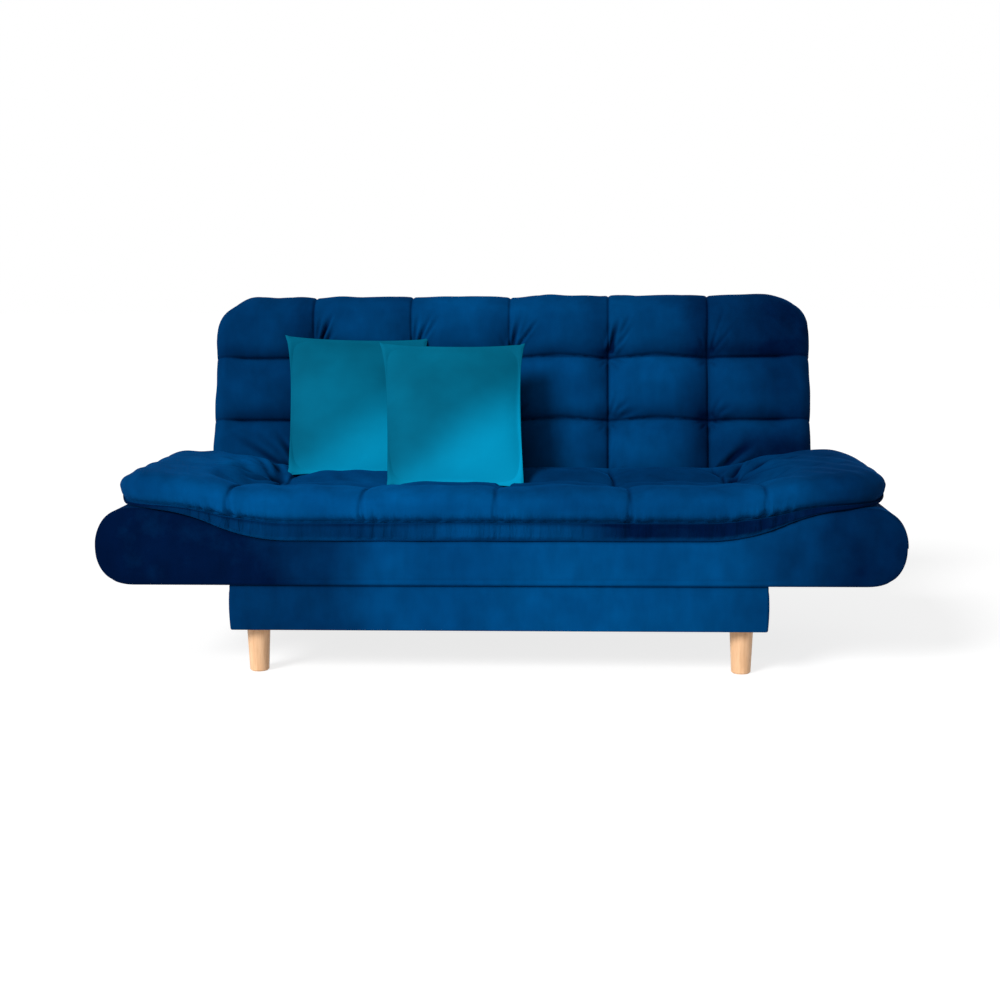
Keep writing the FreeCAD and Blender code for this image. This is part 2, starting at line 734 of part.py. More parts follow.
# ---- Loose pillows ---------------------------------------------------------------------------
def pillow(x, roll):
    """Knife-edged square pillow, leaning back: square sections that shrink towards both faces. Its
    lowest corner is at height 0."""
    sections = []
    for side, share in ((-1, pillow_crown), (0, 1), (1, pillow_crown)):
        y, half = side * pillow_thickness / 2, share * pillow_size / 2
        corners = [(-half, -half), (half, -half), (half, half), (-half, half), (-half, -half)]
        sections.append(Part.makePolygon([Vector(cx, y, cz) for cx, cz in corners]))
    body = Part.makeLoft(sections, True, True)
    body.rotate(Vector(0, 0, 0), Vector(0, 1, 0), roll)
    body.rotate(Vector(0, 0, 0), Vector(-1, 0, 0), pillow_lean)
    body.translate(Vector(x, 0, -min(v.Point.z for v in body.Vertexes)))
    return body


def against_back(body):
    """How far the body may move along +Y until it lies a rest gap off the back's face."""
    face_y, face_z = into_back(0) - fold_y, -pivot_up_back
    start_y = fold_y + face_y * lean_cos + face_z * lean_sin
    start_z = fold_z - face_y * lean_sin + face_z * lean_cos
    room = [start_y + (v.Z - start_z) * lean_sin / lean_cos - v.Y for v in body.Vertexes]
    return min(room) - rest_gap / lean_cos


# ---- Build -----------------------------------------------------------------------------------
def build_plinth():
    front, rear, side = plinth_boards()
    export("plinth_front_board", front)
    export("plinth_rear_board", rear)
    export_pair("plinth_end_board", side)
    export("plinth_cover", plinth_cover())
    export("plinth_corner_blocks", *corner_blocks())
    export("plinth_dust_cloth", dust_cloth_sheet())
    for name, (x, y) in leg_places().items():
        export("leg_" + name, leg(x, y))
    export("leg_bolts", *[leg_bolt(x, y) for x, y in leg_places().values()])


def build_seat():
    front, rear = seat_boards()
    export("seat_front_board", front)
    export("seat_rear_board", rear)
    export("seat_hardboard", seat_hardboard())
    export("seat_joists", *seat_joists())
    export("seat_padding", seat_padding())
    export("seat_cushion", seat_cushion())


def build_back():
    export("back_cushion", back_cushion())
    middle, ends = back_frame()
    for name, piece in middle.items():
        export(name, leaned(piece))
    for name, piece in ends.items():
        export_pair(name, leaned(piece))
    export("back_webbing", *back_webbing())
    export("back_rear_panel", back_rear_panel())


def build_hinges():
    export_pair("hinge_plinth_bracket", plinth_bracket())
    export_pair("hinge_seat_heel", seat_heel())
    export_pair("hinge_back_arm", back_arm())
    export_pair("hinge_pawl", pawl())
    export_pair("hinge_lift_pin", lift_pin())
    export_pair("hinge_fold_pin", pin(fold_axis, arm_out + plate_gap))
    export_pair("hinge_pawl_pin", pin(pawl_pin_place, arm_out + plate_gap))
    bracket_bolts = [hex_bolt(*b) for b in bracket_bolt_places()]
    flange_bolts = [hex_bolt(*b) for b in flange_bolt_places()]
    arm_bolt_set = [leaned(hex_bolt(*b)) for b in arm_bolt_places()]
    for name, bolts in (("bracket_bolts", bracket_bolts), ("heel_bolts", flange_bolts),
                        ("arm_bolts", arm_bolt_set)):
        export(name, *bolts, *[mirrored(b) for b in bolts])


def build_pillows():
    """The left pillow leans on the back; the right one stands in the seat's rear cross seam."""
    left = pillow(pillow_left_inset - back_half, pillow_left_roll)
    left.translate(Vector(0, 0, cushion_middle_top + rest_gap))
    left.translate(Vector(0, against_back(left), 0))
    export("pillow_left", left)
    right = pillow(pillow_left_inset - back_half + pillow_pitch, 0)
    foot_y = min(v.Point.y for v in right.Vertexes)
    right.translate(Vector(0, cross_seam_y(0) - foot_y, cushion_middle_top - seam_depth + rest_gap))
    export("pillow_right", right)


build_plinth()
build_seat()
build_back()
build_hinges()
build_pillows()
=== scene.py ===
import json
import math

import bmesh
import bpy
import numpy as np
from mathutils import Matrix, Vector


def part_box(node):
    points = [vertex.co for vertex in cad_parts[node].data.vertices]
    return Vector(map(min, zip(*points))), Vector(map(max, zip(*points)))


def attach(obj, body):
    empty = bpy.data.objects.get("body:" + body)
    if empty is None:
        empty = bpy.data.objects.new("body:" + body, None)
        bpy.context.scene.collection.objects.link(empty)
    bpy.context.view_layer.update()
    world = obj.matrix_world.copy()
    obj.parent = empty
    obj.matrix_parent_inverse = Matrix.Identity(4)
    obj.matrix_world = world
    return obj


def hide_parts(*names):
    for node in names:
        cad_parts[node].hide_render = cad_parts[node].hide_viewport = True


# The looks of a futon sofa bed: a tufted velvet seat and back, a velvet seat box and plinth on peg
# legs, and two teal pillows. Metres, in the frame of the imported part: +Z up, the sitter faces -Y.

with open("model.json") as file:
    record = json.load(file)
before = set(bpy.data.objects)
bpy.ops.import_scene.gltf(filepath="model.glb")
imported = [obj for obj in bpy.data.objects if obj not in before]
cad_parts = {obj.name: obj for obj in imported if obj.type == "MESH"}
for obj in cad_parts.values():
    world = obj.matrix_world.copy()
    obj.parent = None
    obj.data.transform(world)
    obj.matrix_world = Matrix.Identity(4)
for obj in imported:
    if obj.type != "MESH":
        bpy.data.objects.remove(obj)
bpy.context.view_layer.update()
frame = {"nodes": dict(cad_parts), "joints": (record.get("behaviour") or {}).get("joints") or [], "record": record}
random = np.random.default_rng(7)

# ---- Sizes of the seat and the back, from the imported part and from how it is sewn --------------
cushion_low, cushion_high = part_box("seat_cushion")
box_low, box_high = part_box("seat_padding")
plinth_low, plinth_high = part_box("plinth_cover")
seat_front, seat_rear = cushion_low.y, cushion_high.y
seat_depth = seat_rear - seat_front
dish_half = 0.485            # level middle of the dish
dish_end = 0.856             # where the dish is level again over the rolled ends
box_middle_top = box_low.z + 0.105
cushion_middle_top = box_middle_top + 0.117
cushion_tip = 0.914          # reach of the cushion's soft ends
cushion_ridge = 0.40         # sewn line round the cushion's foot, as a share of its height
cushion_tip_share = 0.42     # height of the ends' outermost point, as a share
seam_pitch_front = 0.313     # seams of the seat, along its front
seam_pitch_rear = 0.2693     # and along the back
outer_seam = 2               # seams are numbered from -2 to 2 about the middle
seat_rows = (0.235, 0.415)   # cross seams, from the cushion's front
back_rows = (0.120, 0.294, 0.468)    # and from the back's foot
lean = math.radians(16)      # of the back, from upright
fold_axis = next(j["pos_m"] for j in frame["joints"] if j["name"] == "back_fold")
fold_up_back, fold_into_back = 0.113, 0.085      # the fold axis in the upright back
back_height, back_thickness = 0.638, 0.165
back_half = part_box("back_cushion")[1].x
pillow_lean = 30             # degrees from upright


# ---- Small helpers -----------------------------------------------------------------------------
def smooth(x):
    """0 below 0, 1 above 1, and 3x^2 - 2x^3 between."""
    x = np.clip(x, 0, 1)
    return x * x * (3 - 2 * x)


def shoulder(distance, reach):
    """Quarter of an ellipse: 0 at a seam, level at reach from it."""
    return np.sqrt(1 - (1 - np.clip(distance / reach, 0, 1)) ** 2)


def closing(x, tip, reach, power=2.0):
    """1 up to reach from the tip, then down to 0 at the tip as a quarter of a (super)ellipse."""
    past = np.clip((np.abs(x) - tip + reach) / reach, 0, 1)
    return (1 - past ** power) ** (1 / power)


def line(distance, width):
    """Bell of height 1 across a stitched line."""
    return np.exp(-(distance / width) ** 2)


def ripple(x, wavelength, count=6):
    """Soft uneven waves along x: sines of about one wavelength with random phases, within about
    -1..1."""
    lengths = wavelength * random.uniform(0.6, 1.7, count)
    phases = random.uniform(0, 2 * math.pi, count)
    waves = sum(np.sin(2 * math.pi * x / w + p) for w, p in zip(lengths, phases))
    return waves / math.sqrt(2 * count)


def crease(a, b, start, end, width, depth):
    """A crease from start to end in the surface's own two lengths: a groove with a soft ridge on
    each side, deepest near its start and fading out towards its end."""
    (a0, b0), (a1, b1) = start, end
    length = math.hypot(a1 - a0, b1 - b0)
    along = ((a - a0) * (a1 - a0) + (b - b0) * (b1 - b0)) / length ** 2
    across = ((a - a0) * (b1 - b0) - (b - b0) * (a1 - a0)) / length / width
    fade = smooth(along * 7) * smooth((1 - along) * 1.3)
    groove = -np.exp(-across ** 2) + 0.5 * np.exp(-((np.abs(across) - 1.9) / 0.9) ** 2)
    return depth * fade * groove


def fan(a, b, centre, direction, spread, count, length, width, depth):
    """Creases that radiate from a tuft, from just outside it."""
    tuft_radius = 0.012
    total = np.zeros_like(a)
    angles = direction + np.linspace(-spread, spread, count) + random.uniform(-0.06, 0.06, count)
    for angle in angles:
        reach = length * random.uniform(0.65, 1.1)
        start, end = ((centre[0] + r * math.cos(angle), centre[1] + r * math.sin(angle))
                      for r in (tuft_radius, reach))
        total += crease(a, b, start, end, width * random.uniform(0.7, 1.2),
                        depth * random.uniform(0.6, 1.2))
    return total


def painted_fold_shade(folds):
    """Painted shade in the bottom of folds: how much darker, from their height."""
    return 0.55 * np.clip(-folds / 0.009, 0, 1)


def graded(start, end, spacing, fine, marks, reach=0.011):
    """Places from start to end, spacing apart and drawn together to fine at each mark."""
    x = np.linspace(start, end, 4001)
    near = np.abs(x[:, None] - np.array(marks, float)).min(1)
    crowd = 1 / spacing + (1 / fine - 1 / spacing) * line(near, reach)
    total = np.concatenate([[0], np.cumsum((crowd[1:] + crowd[:-1]) / 2) * (x[1] - x[0])])
    return np.interp(np.linspace(0, total[-1], int(total[-1]) + 2), total, x)


def dish(x, middle, end):
    """Height of the dish: level, an arc that turns up and an equal arc back to level."""
    run, rise = dish_end - dish_half, end - middle
    turn = 2 * math.atan(rise / run)
    bend = run / (2 * math.sin(turn))
    d = np.clip(np.abs(x) - dish_half, 0, run)
    low = bend - np.sqrt(bend ** 2 - np.minimum(d, run / 2) ** 2)
    high = rise - bend + np.sqrt(bend ** 2 - np.minimum(run - d, run / 2) ** 2)
    return middle + np.where(d < run / 2, low, high)


def surface(name, points, around=True, **shades):
    """Mesh of a grid of points (rows, columns, 3). Columns close on themselves where around is
    set; a row or column that shrinks to a point or a line is welded. Each shade is one value per
    point, kept as an attribute for the finish."""
    rows, columns, _ = points.shape
    index = np.arange(rows * columns).reshape(rows, columns)
    wrapped = np.concatenate([index, index[:, :1]], 1) if around else index
    quads = np.stack([wrapped[:-1, :-1], wrapped[:-1, 1:], wrapped[1:, 1:], wrapped[1:, :-1]], -1)
    mesh = bpy.data.meshes.new(name)
    mesh.from_pydata(points.reshape(-1, 3), [], quads.reshape(-1, 4))
    for kept, values in shades.items():
        spread = np.broadcast_to(values, (rows, columns)).ravel().astype(np.float32)
        mesh.attributes.new(kept, "FLOAT", "POINT").data.foreach_set("value", spread)
    shape = bmesh.new()
    shape.from_mesh(mesh)
    bmesh.ops.remove_doubles(shape, verts=shape.verts, dist=1e-5)
    bmesh.ops.dissolve_degenerate(shape, dist=1e-6, edges=shape.edges)
    bmesh.ops.recalc_face_normals(shape, faces=shape.faces)
    shape.to_mesh(mesh)
    shape.free()
    mesh.shade_smooth()
    piece = bpy.data.objects.new(name, mesh)
    bpy.context.scene.collection.objects.link(piece)
    return piece


def outward(points):
    """Unit normals of a grid that closes along its columns, pointing away from its middle."""
    ring = np.concatenate([points[:, -1:], points, points[:, :1]], 1)
    across = ring[:, 2:] - ring[:, :-2]
    along = np.gradient(points, axis=0)
    normal = np.cross(along, across)
    normal /= np.maximum(np.linalg.norm(normal, axis=-1, keepdims=True), 1e-9)
    away = points - points.mean((0, 1))
    return normal if (normal * away).sum() > 0 else -normal


def coordinates(piece):
    flat = np.empty(len(piece.data.vertices) * 3)
    piece.data.vertices.foreach_get("co", flat)
    return flat.reshape(-1, 3)


def place_points(piece, points):
    piece.data.vertices.foreach_set("co", points.ravel())
    piece.data.update()


def settle(piece, pressure, slack, limit, frames):
    """Let the cloth settle under gas pressure, then keep the result, with no point further than
    limit from where it started."""
    before = coordinates(piece)
    cloth = piece.modifiers.new("cloth", "CLOTH")
    cloth.settings.quality = 4
    cloth.settings.mass = 0.3
    cloth.settings.tension_stiffness = 20
    cloth.settings.compression_stiffness = 20
    cloth.settings.shear_stiffness = 8
    cloth.settings.bending_stiffness = 0.4
    cloth.settings.use_pressure = True
    cloth.settings.uniform_pressure_force = pressure
    cloth.settings.shrink_min = -slack
    cloth.settings.shrink_max = -slack
    cloth.settings.effector_weights.gravity = 0
    cloth.collision_settings.use_collision = False
    cloth.point_cache.frame_end = frames
    for number in range(1, frames + 1):
        bpy.context.scene.frame_set(number)
    ready = piece.evaluated_get(bpy.context.evaluated_depsgraph_get())
    flat = np.empty(len(before) * 3)
    ready.data.vertices.foreach_get("co", flat)
    move = flat.reshape(-1, 3) - before
    size = np.maximum(np.linalg.norm(move, axis=1, keepdims=True), 1e-9)
    move *= limit * np.tanh(size / limit) / size
    piece.modifiers.remove(cloth)
    place_points(piece, before + move)
    bpy.context.scene.frame_set(1)


def rounded(piece):
    finish = piece.modifiers.new("round", "SUBSURF")
    finish.levels = finish.render_levels = 1
    return piece


def arc_points(centre, radii, degrees, count):
    turn = np.radians(np.linspace(*degrees, count, endpoint=False))
    return [(centre[0] + radii[0] * math.cos(t), centre[1] + radii[1] * math.sin(t)) for t in turn]


def run_points(start, end, count):
    return list(zip(np.linspace(start[0], end[0], count, endpoint=False),
                    np.linspace(start[1], end[1], count, endpoint=False)))


# ---- Seat cushion: rings in depth and height, carried along the dish ---------------------------
def cushion_section():
    """Ring of the cushion as (depth from its front, share of its height): foot, upright band,
    rolled front over it, top and rear."""
    band_depth, foot_round, rear_foot_round = 0.010, 0.014, 0.02
    roll_middle, roll_reach, roll_power = (0.064, 0.68), (0.066, 0.32), 0.78
    rear_round, rear_share = 0.036, 0.30
    band_foot = (band_depth + foot_round, 0.09)
    band_top = (band_depth + 0.001, cushion_ridge - 0.02)
    top_end = seat_depth - rear_round
    ring = run_points((seat_depth - rear_foot_round, 0), (band_foot[0], 0), 28)
    ring += arc_points(band_foot, (foot_round, band_foot[1]), (270, 180), 6)
    ring += run_points((band_depth, band_foot[1]), band_top, 12)
    ring += run_points(band_top, (band_depth + 0.0025, cushion_ridge + 0.02), 5)
    turn = np.radians(np.linspace(216, 92, 34, endpoint=False))
    full = [np.sign(f(turn)) * np.abs(f(turn)) ** roll_power for f in (np.cos, np.sin)]
    ring += list(zip(roll_middle[0] + roll_reach[0] * full[0],
                     roll_middle[1] + roll_reach[1] * full[1]))
    ring += [(d, 1) for d in graded(roll_middle[0], top_end, 0.0052, 0.0026, seat_rows)[:-1]]
    ring += arc_points((top_end, 1 - rear_share), (rear_round, rear_share), (90, 0), 9)
    ring += run_points((seat_depth, 1 - rear_share), (seat_depth, 0.2), 6)
    ring += arc_points((seat_depth - rear_foot_round, 0.2), (rear_foot_round, 0.2), (0, -90), 5)
    return np.array(ring)


def cushion_places():
    """Stations along the cushion, closer at the seams and round the soft ends."""
    end_reach = 0.16
    seams = seam_pitch_rear * np.arange(-outer_seam, outer_seam + 1)
    start = cushion_tip - end_reach
    middle = graded(-start, start, 0.0048, 0.0024, seams)
    end = start + end_reach * np.sin(np.linspace(0, math.pi / 2, 34)[1:])
    return np.concatenate([-end[::-1], middle, end])


def spread_seams(place, depth):
    """X of a station at a depth: the seams spread from the back's pitch at the rear to the wider
    pitch at the front, and the soft ends stay where they are."""
    wider = (seam_pitch_front / seam_pitch_rear - 1) * (1 - np.clip(depth / seat_depth, 0, 1))
    outside = smooth((np.abs(place) - outer_seam * seam_pitch_rear - 0.02) / 0.36)
    return place * (1 + wider * (1 - outside))


def column_distance(place):
    """Distance to the nearest seam that runs from rear to front."""
    column = np.clip(np.round(place / seam_pitch_rear), -outer_seam, outer_seam)
    return np.abs(place - column * seam_pitch_rear)


def row_distance(length, rows):
    return np.abs(length[..., None] - np.array(rows)).min(-1)


def cushion_shape(place, depth, share):
    """Points of the plain cushion: its soft ends fall gently on top and turn in tightly below, and
    the sewn line runs down to the foot there."""
    x = spread_seams(place, depth)
    low = dish(x, box_middle_top, box_high.z) + 0.0003
    high = dish(x, cushion_middle_top, cushion_high.z)
    ridge = cushion_ridge - 0.28 * smooth((np.abs(x) - 0.56) / 0.30)
    share = np.where(share < cushion_ridge, share * ridge / cushion_ridge,
                     ridge + (share - cushion_ridge) * (1 - ridge) / (1 - cushion_ridge))
    over = np.clip(share - cushion_tip_share, 0, None) * closing(x, cushion_tip, 0.090, 2.3)
    under = np.clip(cushion_tip_share - share, 0, None) * closing(x, cushion_tip, 0.036, 2.2)
    z = low + (high - low) * (cushion_tip_share + over - under)
    corner = 1 - closing(x, cushion_tip, 0.13)
    front_corner, rear_corner = 0.17, -0.06
    inward = front_corner + (rear_corner - front_corner) * smooth(depth / seat_depth)
    return np.stack([x, seat_front + depth + corner * inward, z], -1)


def seat_nap(x, depth, band, top, wing):
    """Painted shade: darker over most of the band, the top behind the roll, the right half and
    the soft ends, where less light falls. It is brightest on the roll's left half."""
    away = smooth((np.abs(x - 0.02) - 0.10) / 0.22)
    hollow = top * smooth((depth - 0.09) / 0.06) * (1 - wing)
    right = smooth((x + 0.30) / 0.5)
    end = smooth((x - 0.58) / 0.22) + 0.7 * smooth((-x - 0.70) / 0.14)
    return 0.70 * band * (0.25 + 0.75 * away) + 0.30 * hollow + 0.26 * right + 0.45 * end


def make_seat_cushion():
    place, ring = cushion_places(), cushion_section()
    place, depth = np.meshgrid(place, ring[:, 0], indexing="ij")
    share = np.broadcast_to(ring[:, 1], place.shape)
    points = cushion_shape(place, depth, share)
    normal = outward(points)

    # the tufted top: puffed squares, a hollow behind the roll, stitched lines and tufts
    puff_height, seam_drop, hollow_depth, hollow_end = 0.022, 0.013, 0.025, 0.011
    stitch, tuft_depth = 0.0035, 0.007
    wing = smooth((np.abs(place) - outer_seam * seam_pitch_rear - 0.01) / 0.12)
    top = smooth((share - 0.62) / 0.36) * smooth((seat_depth - 0.01 - depth) / 0.03)
    seam, row = column_distance(place), row_distance(depth, seat_rows)
    row_puff = 1 - (1 - shoulder(row, 0.09)) * (1 - 0.85 * wing)
    behind = smooth((depth - 0.10) / 0.08)
    seam_puff = 1 - (1 - shoulder(seam, 0.125)) * (0.40 + 0.60 * behind)
    puff = seam_puff * (1 - behind * (1 - row_puff))
    push = top * (puff_height * puff - seam_drop) * (1 - 0.35 * wing)
    hollow = hollow_depth * smooth((depth - 0.08) / 0.09)
    hollow -= hollow_end * smooth((depth - 0.40) / 0.12)
    push -= top * hollow * (1 - wing)
    push -= top * stitch * line(seam, stitch)
    push -= top * behind * 0.0030 * line(row, stitch) * (1 - wing)
    push -= top * behind * tuft_depth * line(np.hypot(seam, row), 0.020)

    # folds that the tufts draw into the top, and the deep ones in the wings' inner corners
    folds = 0
    for side in (-1, 1):
        for number in range(outer_seam + 1):
            for seat_row in seat_rows:
                tuft = (side * number * seam_pitch_rear, seat_row)
                folds += fan(place, depth, tuft, -math.pi / 2, 1.0, 4, 0.09, 0.006, 0.003)
        corner = (side * outer_seam * seam_pitch_rear, seat_rows[1])
        toward = 0.55 if side > 0 else math.pi - 0.55
        folds += fan(place, depth, corner, toward, 0.45, 4, 0.24, 0.011, 0.014)
        folds += fan(place, depth, corner, -toward, 0.5, 4, 0.20, 0.011, 0.010)
    push += top * folds
    push += top * 0.0022 * ripple(place + 0.6 * depth, 0.13, 7)

    # rolled front, its gathers, and the band under it
    swell, seam_line, gather_height, ridge_groove = 0.004, 0.004, 0.0032, 0.006
    front = smooth((0.11 - depth) / 0.05)
    roll = front * smooth((share - cushion_ridge) / 0.12)
    band = front * smooth((cushion_ridge - share) / 0.06) * smooth((share - 0.03) / 0.10)
    push += roll * swell * np.sin(math.pi * np.clip((share - cushion_ridge) / 0.5, 0, 1))
    double_line = line(seam - 0.004, 0.0026) + line(seam, 0.0022) * 0.5
    push -= roll * (1 - top) * seam_line * double_line
    gather = ripple(place, 0.030, 9) + 0.6 * ripple(place, 0.017, 7)
    patch = 0.30 + 0.45 * smooth(0.5 + 0.8 * ripple(place, 0.35, 4)) + 0.55 * line(seam, 0.055)
    pulled = line(share - cushion_ridge, 0.20) * (share > cushion_ridge)
    push += front * gather_height * patch * gather * (band + pulled) * (1 - 0.6 * wing)
    push += band * 0.003
    push -= front * ridge_groove * line(share - cushion_ridge, 0.022) * (1 - 0.6 * wing)
    gathered = front * patch * np.clip(band + 1.2 * pulled, 0, 1)
    # painted shade along the stitched lines, in the bottom of the folds and in the crease under the roll, added to
    # the cushion's painted shade
    sewn = top * line(seam, 0.0045) + top * behind * line(row, 0.0045) * (1 - wing)
    nap = seat_nap(points[..., 0], depth, band, top, wing) + 0.35 * sewn + painted_fold_shade(folds) * top
    nap += 0.30 * front * line(share - cushion_ridge + 0.03, 0.05)
    return surface("seat_cushion_cover", points + normal * push[..., None],
                   gather=gathered, nap=np.clip(nap, 0, 1))


# ---- Seat box ----------------------------------------------------------------------------------
def box_section():
    """Ring of the seat box as (depth from its front, share of its height)."""
    depth = seat_rear - box_low.y
    foot_round, foot_share, top_round, top_share = 0.009, 0.07, 0.013, 0.10
    ring = run_points((depth - 0.004, 0), (foot_round, 0), 22)
    ring += arc_points((foot_round, foot_share), (foot_round, foot_share), (270, 180), 7)
    ring += run_points((0, foot_share), (0, 1 - top_share), 22)
    ring += arc_points((top_round, 1 - top_share), (top_round, top_share), (180, 90), 7)
    ring += run_points((top_round, 1), (depth - 0.004, 1), 22)
    ring += run_points((depth + 0.001, 0.98), (depth + 0.001, 0.02), 10)
    return np.array(ring)


def make_seat_box():
    """The box's ends are a superellipse: a little squarer than a half circle."""
    tip, reach = box_high.x, (box_high.z - box_low.z) / 2
    end = tip - reach * (1 - np.sin(np.linspace(0, math.pi / 2, 20)[1:]))
    level = np.linspace(reach - tip, tip - reach, 170)
    places, section = np.concatenate([-end[::-1], level, end]), box_section()
    x, depth = np.meshgrid(places, section[:, 0], indexing="ij")
    height = np.broadcast_to(section[:, 1], x.shape)
    high = dish(x, box_middle_top, box_high.z)
    middle, half = (box_low.z + high) / 2, (high - box_low.z) / 2 * closing(x, tip, reach, 2.5)
    z = middle + half * (2 * height - 1)
    points = np.stack([x, box_low.y + depth, z], -1)
    normal = outward(points)
    front = smooth((0.02 - depth) / 0.015)
    swell, waves, foot_seam = 0.004, 0.0014, 0.0016
    push = front * swell * (4 * height * (1 - height))
    push += front * waves * ripple(x + 0.3 * z, 0.17, 6) * smooth((height - 0.1) / 0.3)
    push -= front * foot_seam * line(z - box_low.z - 0.014, 0.0022)
    # painted shade: darker towards both ends of the box, most at the left, where less light falls
    dark = 0.20 + 0.56 * smooth((-x - 0.26) / 0.16) + 0.26 * smooth((-x - 0.42) / 0.20)
    dark += 0.44 * smooth((x - 0.46) / 0.22) + 0.22 * smooth((x - 0.66) / 0.20)
    return surface("seat_box_cover", points + normal * push[..., None], nap=dark)


# ---- Plinth's padded cloth ---------------------------------------------------------------------
def plinth_outline(corner):
    """Rounded rectangle round the plinth, seen from above."""
    half, front, rear = plinth_high.x, plinth_low.y, plinth_high.y
    outline = []
    corners = [(half, front, -90), (half, rear, 0), (-half, rear, 90), (-half, front, 180)]
    centres = [(cx - math.copysign(corner, cx), cy + (corner if cy == front else -corner))
               for cx, cy, _ in corners]
    for number, (_, _, start) in enumerate(corners):
        following = (number + 1) % 4
        outline += arc_points(centres[number], (corner, corner), (start, start + 90), 7)
        last, goal = ((centre[0] + corner * math.cos(math.radians(angle)),
                       centre[1] + corner * math.sin(math.radians(angle)))
                      for centre, angle in ((centres[number], start + 90),
                                            (centres[following], corners[following][2])))
        outline += run_points(last, goal, 120 if abs(goal[0] - last[0]) > 0.5 else 60)
    return np.array(outline)


def make_plinth_cloth():
    """Cloth drawn over the plinth's boards and turned in over their top and foot edges."""
    outline = plinth_outline(0.005)
    ahead = np.roll(outline, -1, 0) - np.roll(outline, 1, 0)
    out = np.stack([ahead[:, 1], -ahead[:, 0]], -1)
    out /= np.linalg.norm(out, axis=1, keepdims=True)
    wave = 0.45 * ripple(np.cumsum(np.linalg.norm(ahead / 2, axis=1)), 0.13, 6)

    # rows up the cloth, each (reach past the outline, height), and back down along its inside
    proud, edge, turned_in, hem = 0.0014, 0.0008, -0.003, -0.014
    low, high = plinth_low.z, plinth_high.z
    skin = [(hem, low - 0.0012), (turned_in, low - 0.0012), (edge, low - 0.0002)]
    skin += [(proud, z) for z in np.linspace(low + 0.003, high - 0.003, 22)]
    skin += [(edge, high - 0.0006), (turned_in, high + 0.0002), (hem, high + 0.0002)]
    lining = [(hem, high + 0.00005), (turned_in, high + 0.00005), (turned_in, low - 0.0002),
              (hem, low - 0.0002)]
    rows = []
    for number, (reach, z) in enumerate(skin + lining + skin[:1]):
        height = (z - low) / (high - low)
        swell = 0.0022 * math.sin(math.pi * min(max(height, 0), 1))
        puckers = swell * (1 + wave) - 0.0012 * math.exp(-((height - 0.90) / 0.03) ** 2)
        if number >= len(skin):
            puckers = np.zeros(len(outline))
        rows.append(np.c_[outline + out * (reach + puckers)[:, None], np.full(len(outline), z)])
    rows = np.array(rows)
    x = rows[..., 0]
    # painted shade: darker towards both ends of the plinth, most at the left, where less light falls
    dark = 0.22 + 0.46 * smooth((-x - 0.20) / 0.22) + 0.28 * smooth((x - 0.38) / 0.22)
    return surface("plinth_cloth", rows, nap=dark)


# ---- Back: rings in the upright back's own plane, then leaned ----------------------------------
def leaned(x, into, up):
    """From the upright back's own lengths to the frame: turned about the fold axis."""
    dy, dz = into - fold_into_back, up - fold_up_back
    y = fold_axis[1] + dy * math.cos(lean) + dz * math.sin(lean)
    z = fold_axis[2] - dy * math.sin(lean) + dz * math.cos(lean)
    return np.stack(np.broadcast_arrays(x, y, z), -1)


def back_section(kind):
    """Ring of the back as (into the back, up the back). At its ends it is solid; further in it is
    open behind for the frame, and at the hinges open below too. Above the hinges all are alike in
    front."""
    foot, cavity, frame_foot, frame_top = 0.062, 0.112, 0.160, back_height - 0.048
    pocket_face, pocket_foot, pocket_top = 0.042, 0.132, 0.275
    front_round, rear_round = 0.055, 0.030
    front_top, rear_top = back_height - front_round, back_height - rear_round
    rear_start = back_thickness - rear_round
    if kind == "hinge":
        ring = run_points((pocket_face, pocket_foot), (0, pocket_foot), 26)
    else:
        ring = arc_points((foot, foot), (foot, foot), (270, 180), 12)
        ring += run_points((0, foot), (0, pocket_foot), 14)
    ring += [(0, up) for up in graded(pocket_foot, front_top, 0.0046, 0.0024, back_rows)[:-1]]
    ring += arc_points((front_round, front_top), (front_round, front_round), (180, 90), 14)
    ring += run_points((front_round, back_height), (rear_start, back_height), 12)
    ring += arc_points((rear_start, rear_top), (rear_round, rear_round), (90, 0), 8)
    ring += run_points((back_thickness, rear_top), (back_thickness, frame_top), 3)
    if kind == "end":
        ring += [(back_thickness, frame_top)] * 4
        ring += run_points((back_thickness, frame_top), (back_thickness, frame_foot), 14)
        ring += [(back_thickness, frame_foot)] * 4
    else:
        ring += run_points((back_thickness, frame_top), (cavity, frame_top), 4)
        low = pocket_top if kind == "hinge" else frame_foot
        out = pocket_face if kind == "hinge" else back_thickness
        ring += run_points((cavity, frame_top), (cavity, low), 14)
        ring += run_points((cavity, low), (out, low), 4)
    if kind == "hinge":
        ring += run_points((pocket_face, pocket_top), (pocket_face, pocket_foot), 8)
        ring += [(pocket_face, pocket_foot)] * 13
    else:
        ring += run_points((back_thickness, frame_foot), (back_thickness, foot), 8)
        ring += arc_points((back_thickness - foot, foot), (foot, foot), (0, -90), 8)
        ring += run_points((back_thickness - foot, 0), (foot, 0), 5)
    return np.array(ring)


def back_places(frame_half, pocket):
    """Places along X with the kind of section at each; two at one place make an inside wall."""
    inner, outer = pocket
    seams = seam_pitch_rear * np.arange(-outer_seam, outer_seam + 1)
    places = []
    for start, end, kind in ((-back_half, -frame_half, "end"), (-frame_half, -outer, "open"),
                             (-outer, -inner, "hinge"), (-inner, inner, "open"),
                             (inner, outer, "hinge"), (outer, frame_half, "open"),
                             (frame_half, back_half, "end")):
        fine = 0.0035 if kind == "end" else 0.0046
        places += [(x, kind) for x in graded(start, end, fine, 0.0024, seams)]
    return places


